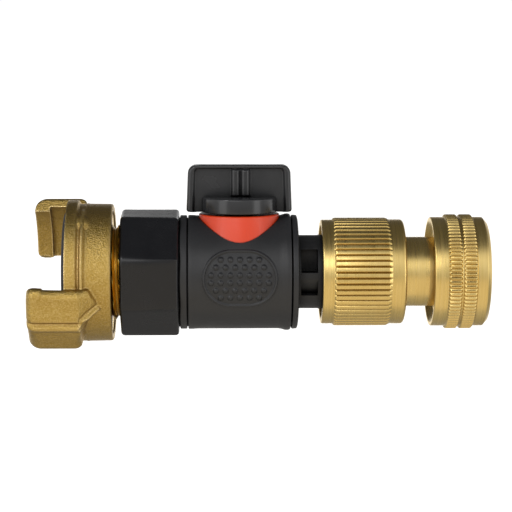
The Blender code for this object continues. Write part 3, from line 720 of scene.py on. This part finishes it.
def grip_relief(s, t):
    """Height of the grip's border and dots at a place on the shell, from the grip's centre."""
    end_r = PAD_HEIGHT / 2
    inside = end_r - hypot(max(0.0, abs(s) - (PAD_LENGTH / 2 - end_r)), t)
    if inside < 0:
        return 0.0
    if inside < PAD_BORDER:
        return PAD_RAISE * sin(pi * inside / PAD_BORDER) ** 0.7
    height = -0.08 * smooth_step(PAD_BORDER, PAD_BORDER + 0.3, inside)
    row = t / DOT_ROW_PITCH + (len(DOT_ROWS) - 1) / 2
    nearest = round(row)
    if 0 <= nearest < len(DOT_ROWS):
        count = DOT_ROWS[nearest]
        column = s / DOT_PITCH + (count - 1) / 2
        dot = min(count - 1, max(0, round(column)))
        away = hypot((column - dot) * DOT_PITCH, (row - nearest) * DOT_ROW_PITCH) / DOT_R
        if away < 1:
            height += DOT_RAISE * (1 - away ** 2.5)
    return height


def make_shell():
    """Cover with a grip on each side and the window for the tower."""
    low, high = extent("body_shell")
    x0, x1, shell_r, inner_r = low.x, high.x, 15.75, 13.8
    pad_x = (STEM_X - PAD_LENGTH / 2 - 0.2, STEM_X + PAD_LENGTH / 2 + 0.2)
    rows = 150
    middle = [(pad_x[0] + (pad_x[1] - pad_x[0]) * row / rows, shell_r, 0.0, 1.0) for row in range(rows + 1)]
    outline = [
        (x0, inner_r, 0.2), (x0, shell_r + 0.1, 0.35), (x0 + 1.2, shell_r + 0.1), (x0 + 2.4, shell_r),
        *middle, (x1 - 3.4, shell_r), (x1 - 2.4, shell_r + 0.15), (x1 - 1.4, shell_r + 0.45),
        (x1 - 0.7, shell_r + 0.5), (x1, shell_r + 0.3, 0.35), (x1, inner_r, 0.2),
    ]

    def relief(along, radius, share, angle):
        side = 0.0 if cos(angle) > 0 else pi
        turn = (angle - side + pi) % (2 * pi) - pi
        return radius + grip_relief(along - STEM_X, turn * shell_r)

    pad_turn = PAD_HEIGHT / 2 / shell_r + 0.02
    fine, coarse = 124, 44
    angles = []
    for side in (0.0, pi):
        angles += [side - pad_turn + 2 * pad_turn * step / fine for step in range(fine)]
        angles += [side + pad_turn + (pi - 2 * pad_turn) * step / coarse for step in range(coarse)]
    bm = turned(outline, shape=relief, angles=angles)
    shell = finished("grip_shell", bm, "valve", "black_soft_plastic", "body_shell", sharp=40.0)
    window = [(z, tower_radius(z) + 0.3) for z in (2.0, 20.0)]
    combine(shell, "DIFFERENCE", [cone_tool("Z", *window)], 40.0)


def tower_radius(z):
    slope = (TOWER["top_r"] - TOWER["foot_r"]) / (TOWER["top"] - TOWER["foot"])
    return TOWER["foot_r"] + slope * (z - TOWER["foot"])


def make_core():
    """Red valve body: a barrel with the chamber for the ball, and the tower."""
    low, high = extent("valve_core")
    hole_r, chamber_r, socket_r, core_r, socket_depth = 4.5, 10.3, 12.7, 13.5, 5.2
    tower = [
        (4.0, hole_r), (4.0, tower_radius(4.0)), (TOWER["top"], TOWER["top_r"], 0.45),
        (TOWER["top"], hole_r, 0.3),
    ]
    core = finished("valve_core_red", turned(tower, axis="Z"), "valve", "red_plastic", "valve_core")
    left, right = low.x + socket_depth, high.x - socket_depth
    barrel = [
        (low.x, core_r, 0.3), (high.x, core_r, 0.3), (high.x, socket_r, 0.2), (right, socket_r),
        (right, chamber_r), (left, chamber_r), (left, socket_r), (low.x, socket_r, 0.2),
    ]
    combine(core, "UNION", [finished("tool", turned(barrel))])
    chamber = cone_tool("X", (low.x - 1.0, chamber_r), (high.x + 1.0, chamber_r))
    combine(core, "DIFFERENCE", [chamber])


def make_ball_and_seats():
    """Bored ball with the stem's slot, between its two seats."""
    low, high = extent("ball")
    radius, bore = (high.x - low.x) / 2, 5.6
    mouth = sqrt(radius * radius - bore * bore)
    arc = []
    steps = 40
    first = atan2(bore, mouth)
    for step in range(steps + 1):
        turn = first + (pi - 2 * first) * step / steps
        arc.append((STEM_X + radius * cos(turn), radius * sin(turn), 0.0, 0.0))
    ball = finished("bored_ball", turned(arc, 96), "handle_and_ball", "plated_steel", "ball")
    slot = finished("tool", block((STEM_X - 1.3, -9.0, 6.4), (STEM_X + 1.3, 9.0, 9.5), 0.2))
    combine(ball, "DIFFERENCE", [slot])
    seat_bore, seat_mouth, seat_r = 5.8, 7.3, 10.0
    for name, side in (("seat_inlet", -1), ("seat_outlet", 1)):
        back, front, throat = (STEM_X + side * away for away in (8.6, 5.5, 6.8))
        ring = [
            (back, seat_bore, 0.3), (back, seat_r, 0.3), (front, seat_r, 0.3), (front, seat_mouth, 0.1),
            (throat, seat_bore, 0.2),
        ]
        finished(f"{name}_ring", turned(ring, 96), "valve", "white_seat_plastic", name)


# ---------------------------------------------------------------- handle

def make_handle():
    """Wing with recessed panels and two ribs on each side, on a round base."""
    low, high = extent("handle")
    foot_z, top_z, foot_half = low.z, high.z, (high.x - low.x) / 2
    top_half, corner, thick, recess = foot_half - 0.5, 2.3, 2.8, 0.85
    rim, top_rim = 2.0, 0.7
    disc_r, disc_top = high.y + 0.85, 21.1
    ribs = ((-1.0, 1.3, 1.05), (1.7, 1.4, 1.15))        # centre, half width and height over the panel

    def half_length(z):
        sloped = foot_half + (top_half - foot_half) * (z - foot_z) / (top_z - foot_z)
        return sloped - edge_drop(top_z - z, corner) - 0.8 * edge_drop(z - foot_z, 0.9)

    def thickness(x, z, side):
        edge = half_length(z) - abs(x)
        panel = smooth_step(rim - 0.55, rim + 0.35, edge) * smooth_step(top_rim, top_rim + 0.4, top_z - z)
        body = thick - recess * panel
        for centre, half, height in ribs:
            away = abs(x * side - centre) / half
            if away < 1:
                ends = smooth_step(0.5, 1.7, top_z - z) * smooth_step(disc_top - 0.2, disc_top + 0.5, z)
                on_panel = 1.0 if panel > 0.5 else 0.0
                body += height * ends * (1 - away ** 2) ** 0.62 * on_panel
        body -= edge_drop(edge, 1.15)
        body -= edge_drop(top_z - z, 0.5) + edge_drop(z - foot_z, 0.4)
        return max(0.2, body)

    inner_reach, x_steps, end_steps = 10.5, 110, 34
    spread = [-inner_reach + 2 * inner_reach * i / x_steps for i in range(x_steps + 1)]
    outer = [(i + 1) / end_steps for i in range(end_steps)]
    levels = 96
    columns = []
    bm = bmesh.new()
    for level in range(levels + 1):
        share = level / levels
        eased = 0.5 - 0.5 * cos(pi * share)
        z = foot_z + (top_z - foot_z) * (0.5 * share + 0.5 * eased)
        reach = half_length(z) - 0.001
        right = [inner_reach + (reach - inner_reach) * (1 - (1 - share_out) ** 1.6) for share_out in outer]
        xs = [-x for x in reversed(right)] + spread + right
        front = [bm.verts.new((STEM_X + x, -thickness(x, z, 1), z)) for x in xs]
        back = [bm.verts.new((STEM_X + x, thickness(x, z, -1), z)) for x in reversed(xs)]
        columns.append(front + back)
    wing = finished("wing_handle", capped(bm, columns), "handle_and_ball", "black_gloss_plastic", "handle",
                    sharp=50.0, finish="handle_plastic")
    disc = [(foot_z, 0.6), (foot_z, disc_r, 0.25), (disc_top, disc_r - 0.1, 0.55), (disc_top, 0.6)]
    tool = finished("tool", turned(disc, axis="Z"))
    combine(wing, "UNION", [tool], 50.0)


# ---------------------------------------------------------------- outlet spigot and connector

def make_spigot():
    """Plug: collar, neck with two pockets on each side, shoulder and nose."""
    low, high = extent("outlet_spigot")
    collar_x, neck_x, neck_end, shoulder_end = 62.6, 64.3, 70.0, 72.5
    tail_r, plug_r, neck_r, shoulder_r, nose_r, collar_r, bore = 9.9, 12.4, 10.2, 10.3, 7.9, high.y, 5.0
    lock_r, (lock_x0, lock_x1) = 6.5, (75.4, 77.8)          # groove for the locking balls
    ring_r, (ring_x0, ring_x1) = 6.3, (81.4, 83.8)          # groove for the O-ring
    profile = [
        (low.x, bore, 0.3), (low.x, tail_r, 0.3), (low.x + 0.3, plug_r), (collar_x, plug_r),
        (collar_x, collar_r, 0.35), (neck_x - 0.25, collar_r - 0.1, 0.3), (neck_x, collar_r - 0.8, 0.2),
        (neck_x, neck_r, 0.2), (neck_end, neck_r, 0.15), (neck_end, shoulder_r, 0.3),
        (shoulder_end, shoulder_r, 0.3), (shoulder_end, nose_r, 0.3), (lock_x0 - 0.7, nose_r, 0.2),
        (lock_x0, lock_r, 0.3), (lock_x1, lock_r, 0.3), (lock_x1 + 0.7, nose_r, 0.2),
        (ring_x0, nose_r, 0.15), (ring_x0, ring_r), (ring_x1, ring_r), (ring_x1, nose_r, 0.15),
        (high.x - 1.0, nose_r, 0.3), (high.x, nose_r - 1.0, 0.3), (high.x, bore, 0.3),
    ]
    spigot = finished("spigot_plug", turned(profile, 144), "valve", "black_soft_plastic", "outlet_spigot")
    pocket_x = (neck_x + 0.75, neck_end - 0.35)
    tools = []
    for side in (-1, 1):
        depth = sorted((side * 5.9, side * 13.0))
        pocket = block((pocket_x[0], depth[0], 0.9), (pocket_x[1], depth[1], 7.1), 0.25)
        tools.append(finished("tool", pocket))
        tools.append(finished("tool", slanted_pocket(pocket_x, side)))
    combine(spigot, "DIFFERENCE", tools)


def slanted_pocket(span, side):
    """Hollow whose floor goes deeper on its way down and curves out to its lower edge."""
    floor_line = [
        (10.4, -0.9), (9.3, -2.2), (8.2, -3.6), (7.3, -4.7), (6.9, -5.2), (7.0, -5.5),
        (13.0, -5.5), (13.0, -0.9),
    ]
    bm = bmesh.new()
    return capped(bm, [[bm.verts.new((x, side * y, z)) for y, z in floor_line] for x in span])


def rib_relief(count, depth, groove_share):
    """Straight knurling: rounded ribs with a narrow groove between them."""
    def relief(along, radius, share, angle):
        phase = abs((angle * count / (2 * pi)) % 1.0 - 0.5) * 2
        groove = max(0.0, (phase - (1 - groove_share)) / groove_share)
        crown = 0.12 * depth * phase ** 2
        return radius - share * (depth * sin(groove * pi / 2) ** 1.2 + crown)
    return relief


def make_sleeve():
    """Release sleeve: a knurled stretch between two bands, and steps inside for the balls and the spring."""
    low, high = extent("release_sleeve")
    x0, x1, knurl_r = low.x, high.x, high.y + 0.12
    band_r, ribs = knurl_r - 0.55, 58
    k0, k1 = x0 + 3.15, x1 - 3.95                           # ends of the knurling
    mouth_r, land_r, step_r, chamber_r = 12.85, 11.25, 9.95, 12.4
    mouth_x, land_x, step_x, chamber_x = 72.2, 76.6, 79.9, 82.0
    outline = [
        (x0, mouth_r, 0.3), (x0, band_r, 0.45), (k0, band_r), (k0 + 0.06, band_r + 0.02),
        (k0 + 0.25, band_r + 0.3, 0.0, 0.5), (k0 + 0.5, knurl_r - 0.08, 0.0, 1.0),
        (k0 + 0.75, knurl_r, 0.0, 1.0), (k1 - 1.1, knurl_r, 0.0, 1.0),
        (k1 - 0.8, knurl_r - 0.08, 0.0, 1.0), (k1 - 0.35, band_r + 0.25, 0.0, 0.5),
        (k1 - 0.06, band_r + 0.07), (k1, band_r + 0.05), (x1, band_r + 0.05, 0.95), (x1, chamber_r, 0.3),
        (chamber_x, chamber_r), (chamber_x, step_r), (step_x, step_r), (step_x, land_r), (land_x, land_r),
        (mouth_x, mouth_r),
    ]
    bm = turned(outline, ribs * 14, shape=rib_relief(ribs, 0.40, 0.36))
    finished("knurled_sleeve", bm, "sleeve", "turned_brass", "release_sleeve", sharp=38.0)


def make_connector():
    """Tube with the cage for the locking balls, the retaining ring and the circlip."""
    low, high = extent("connector_body")
    cage_r, tube_r, bore, socket_r, groove_r = 10.9, 9.65, 6.5, 8.2, 8.9
    cage_end, socket_end = 79.6, 86.6
    rings = (("retaining_ring", "spring_retaining_ring"), ("circlip_ring", "swivel_circlip"))
    profile = [(low.x, socket_r, 0.3), (low.x, cage_r, 0.4), (cage_end, cage_r, 0.2), (cage_end, tube_r)]
    for _, node in rings:
        groove_x0, groove_x1 = extent(node)[0].x - 0.15, extent(node)[1].x + 0.15
        profile += [(groove_x0, tube_r), (groove_x0, groove_r), (groove_x1, groove_r), (groove_x1, tube_r)]
    profile += [(high.x, tube_r, 0.4), (high.x, bore, 0.4), (socket_end, bore, 0.2), (socket_end, socket_r)]
    tube = finished("connector_tube", turned(profile), "connector", "turned_brass", "connector_body")
    combine(tube, "DIFFERENCE", [ball_hole(number) for number in range(4)])
    for name, node in rings:
        finished(name, plain_ring(node, 9.2, 0.2, 96), "connector", "plated_steel", node)


def ball_hole(number):
    """Round hole through the cage for one of the four locking balls."""
    hole_x, hole_r, facets = 76.6, 2.2, 32
    bm = bmesh.new()
    ends = []
    for z in (6.0, 13.0):
        turns = [2 * pi * i / facets for i in range(facets)]
        ends.append([bm.verts.new((hole_x + hole_r * cos(a), hole_r * sin(a), z)) for a in turns])
    hole = finished("tool", capped(bm, ends))
    hole.data.transform(Matrix.Rotation(pi / 2 * number - pi / 4, 4, "X"))
    return hole


def make_spring():
    """Round-wire spring with closed end turns, on a mesh of its own."""
    low, high = extent("sleeve_spring")
    wire_r, turns, end_turns, sections = 0.5, 6, 0.9, 12
    coil_r = high.y - wire_r
    span = high.x - low.x - 2 * wire_r
    pitch = (span - 4 * end_turns * wire_r) / (turns - 2 * end_turns)
    steps = turns * 40
    bm = bmesh.new()
    rings = []
    for step in range(steps + 1):
        turn = turns * step / steps
        first, last = min(turn, end_turns), max(0.0, turn - (turns - end_turns))
        along = low.x + wire_r + 2 * wire_r * (first + last) + pitch * (turn - first - last)
        ring = []
        for i in range(sections):
            swing = 2 * pi * i / sections
            x, radius = along + wire_r * sin(swing), coil_r + wire_r * cos(swing)
            ring.append(bm.verts.new(turned_point("X", x, radius, 2 * pi * turn)))
        rings.append(ring)
    spring = finished("wound_spring", capped(bm, rings), "connector", "plated_steel", "sleeve_spring")
    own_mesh(spring)


def make_swivel_nut():
    """Nut with two knurled rings, and the flat washer in it."""
    low, high = extent("swivel_nut")
    x0, x1, knurl_r = low.x, high.x + 0.15, high.y
    body_r, teeth = knurl_r - 0.75, 85
    thread_r, face_r, thread_x, hole_r, recess_r, recess_x = 12.2, 13.9, 104.2, 10.0, 12.6, x0 + 1.9
    outline = [(x0, body_r, 0.4)]
    for ring in (0, 1):
        k0 = x0 + 3.75 + 4.1 * ring
        k1 = k0 + 3.8
        foot = body_r if ring == 0 else body_r + 0.15
        outline += [
            (k0, foot), (k0 + 0.22, foot + 0.3, 0.0, 0.3), (k0 + 0.45, knurl_r - 0.05, 0.0, 1.0),
            (k0 + 0.65, knurl_r, 0.0, 1.0), (k1 - 0.65, knurl_r, 0.0, 1.0),
            (k1 - 0.45, knurl_r - 0.05, 0.0, 1.0), (k1 - 0.22, foot + 0.3, 0.0, 0.3),
            (k1, body_r + (0.15 if ring == 0 else 0.0)),
        ]
    outline += [
        (x1 - 1.1, body_r, 0.35), (x1, face_r, 0.2), (x1, thread_r, 0.3), (thread_x, thread_r),
        (thread_x, hole_r), (recess_x, hole_r, 0.2), (recess_x, recess_r, 0.3),
        (x0 + 0.3, body_r - 1.15, 0.15), (x0, body_r - 0.95, 0.15),
    ]
    bm = turned(outline, teeth * 8, shape=rib_relief(teeth, 0.3, 0.75))
    finished("knurled_swivel_nut", bm, "outlet_nut", "turned_brass", "swivel_nut", sharp=38.0)
    finished("end_washer", plain_ring("swivel_washer", 6.5), "outlet_nut", "black_rubber", "swivel_washer")


# ---------------------------------------------------------------- pieces that keep their CAD shape

def finish_carried_nodes():
    """Give each CAD node that still shows the material of its slot."""
    for row in frame["record"]["subparts"]:
        node = frame["nodes"][row["node"]]
        for slot in node.material_slots:
            slot.material = FINISHES[row["material_slot"]]


# ---------------------------------------------------------------- studio

def make_camera():
    """Camera at the photograph's angle: a little above the axis and a little towards the claw end."""
    distance, elevation, towards_claws, roll = 514.0, radians(7.0), radians(1.4), radians(0.03)
    target = Vector((52.9, 0.0, 4.4))
    level = cos(elevation)
    back = Vector((-sin(towards_claws) * level, -cos(towards_claws) * level, sin(elevation)))
    data = bpy.data.cameras.new("camera")
    data.sensor_width = 36.0
    data.lens = 130.0
    data.clip_start, data.clip_end = 0.01, 20.0
    camera = bpy.data.objects.new("camera", data)
    camera.location = (target + back * distance) * MM
    turn = back.to_track_quat("Z", "Y").to_matrix().to_4x4() @ Matrix.Rotation(roll, 4, "Z")
    camera.rotation_euler = turn.to_euler()
    bpy.context.scene.collection.objects.link(camera)
    bpy.context.scene.camera = camera


def add_light(name, place_at, target, size, power, colour=(1, 1, 1)):
    data = bpy.data.lights.new(name, "AREA")
    data.shape = "RECTANGLE"
    data.size, data.size_y = size
    data.energy = power
    data.color = colour
    lamp = bpy.data.objects.new(name, data)
    lamp.visible_camera = False
    lamp.location = place_at
    lamp.rotation_euler = (Vector(place_at) - Vector(target)).to_track_quat("Z", "Y").to_euler()
    bpy.context.scene.collection.objects.link(lamp)


FLOOR_DROP = 0.22               # how far the floor lies under the flow axis, in metres
FRONT_LEVEL, SHOULDER_LEVEL, CEILING_LEVEL, BACK_LEVEL = 0.68, 1.1, 0.10, 1.02


def make_floor():
    """Pale floor that brightens towards the back, where it becomes the background."""
    bm = bmesh.new()
    bmesh.ops.create_grid(bm, x_segments=2, y_segments=2, size=6.0)
    mesh = bpy.data.meshes.new("floor")
    bm.to_mesh(mesh)
    bm.free()
    ground = bpy.data.objects.new("floor", mesh)
    ground.location = (0, 0, -FLOOR_DROP)
    bpy.context.scene.collection.objects.link(ground)
    made, tree, shader = material("floor_paper", Roughness=0.9)
    shader.inputs["Base Color"].default_value = (0.45, 0.43, 0.39, 1)
    shader.inputs["Emission Color"].default_value = (1, 1, 1, 1)
    depth = add_node(tree, "ShaderNodeSeparateXYZ", {"Vector": place(tree)}).outputs["Y"]
    near = between(tree, depth, 0.30, 0.13, -0.08, 0.10)
    far = between(tree, depth, 0.0, 0.9, 0.36, 0.54)
    link(tree, math_node(tree, "ADD", near, far), shader.inputs["Emission Strength"])
    seen_from_below = add_node(tree, "ShaderNodeNewGeometry").outputs["Backfacing"]
    clear = add_node(tree, "ShaderNodeBsdfTransparent").outputs[0]
    mix = add_node(tree, "ShaderNodeMixShader", {0: seen_from_below, 1: shader.outputs[0], 2: clear})
    link(tree, mix.outputs[0], tree.nodes["Material Output"].inputs["Surface"])
    mesh.materials.append(made)


def make_world():
    """Even surroundings in front, a dim ceiling and a white background at eye level."""
    world = bpy.data.worlds.new("studio")
    bpy.context.scene.world = world
    world.use_nodes = True
    tree = world.node_tree
    direction = add_node(tree, "ShaderNodeTexCoord").outputs["Generated"]
    axes = add_node(tree, "ShaderNodeSeparateXYZ", {"Vector": direction}).outputs
    towards_back = between(tree, axes["Y"], 0.0, 0.52, -0.25, 0.30)
    rise = math_node(tree, "ADD", axes["Z"], towards_back)
    front = between(tree, rise, FRONT_LEVEL, SHOULDER_LEVEL, 0.05, 0.45)
    level = between(tree, rise, front, CEILING_LEVEL, 0.66, 0.82)
    behind = between(tree, axes["Y"], 0.0, 1.0, 0.90, 0.98)
    low = between(tree, axes["Z"], 1.0, 0.0, 0.04, 0.12)
    white = math_node(tree, "MULTIPLY", behind, low)
    extra = math_node(tree, "MULTIPLY", white, math_node(tree, "SUBTRACT", BACK_LEVEL, level))
    background = tree.nodes["Background"]
    link(tree, math_node(tree, "ADD", level, extra), background.inputs["Strength"])
    background.inputs["Color"].default_value = (1, 1, 1, 1)


def make_studio():
    make_floor()
    make_world()
    centre = (CAD_BOX[0] + CAD_BOX[1]) / 2
    aim = (centre.x, 0, 0)
    add_light("key", (centre.x - 0.2, -0.8, 0.40), aim, (0.5, 0.35), 0.8)
    add_light("left_box", (centre.x - 0.52, -0.42, 0.05), aim, (0.30, 0.5), 0.60)
    add_light("right_box", (centre.x + 0.56, -0.40, 0.05), aim, (0.26, 0.5), 0.60)
    add_light("sparkle", (centre.x - 0.45, -0.45, 0.50), aim, (0.14, 0.14), 0.75)
    add_light("warm_fill", (centre.x, -0.12, -0.16), aim, (0.6, 0.4), 0.25, (1.0, 0.76, 0.38))
    bpy.context.scene.view_settings.view_transform = "Standard"


FINISHES = make_finishes()
make_camera()
make_studio()
make_coupling()
make_union_nut()
make_shell()
make_core()
make_ball_and_seats()
make_handle()
make_spigot()
make_connector()
make_sleeve()
make_spring()
make_swivel_nut()
finish_carried_nodes()
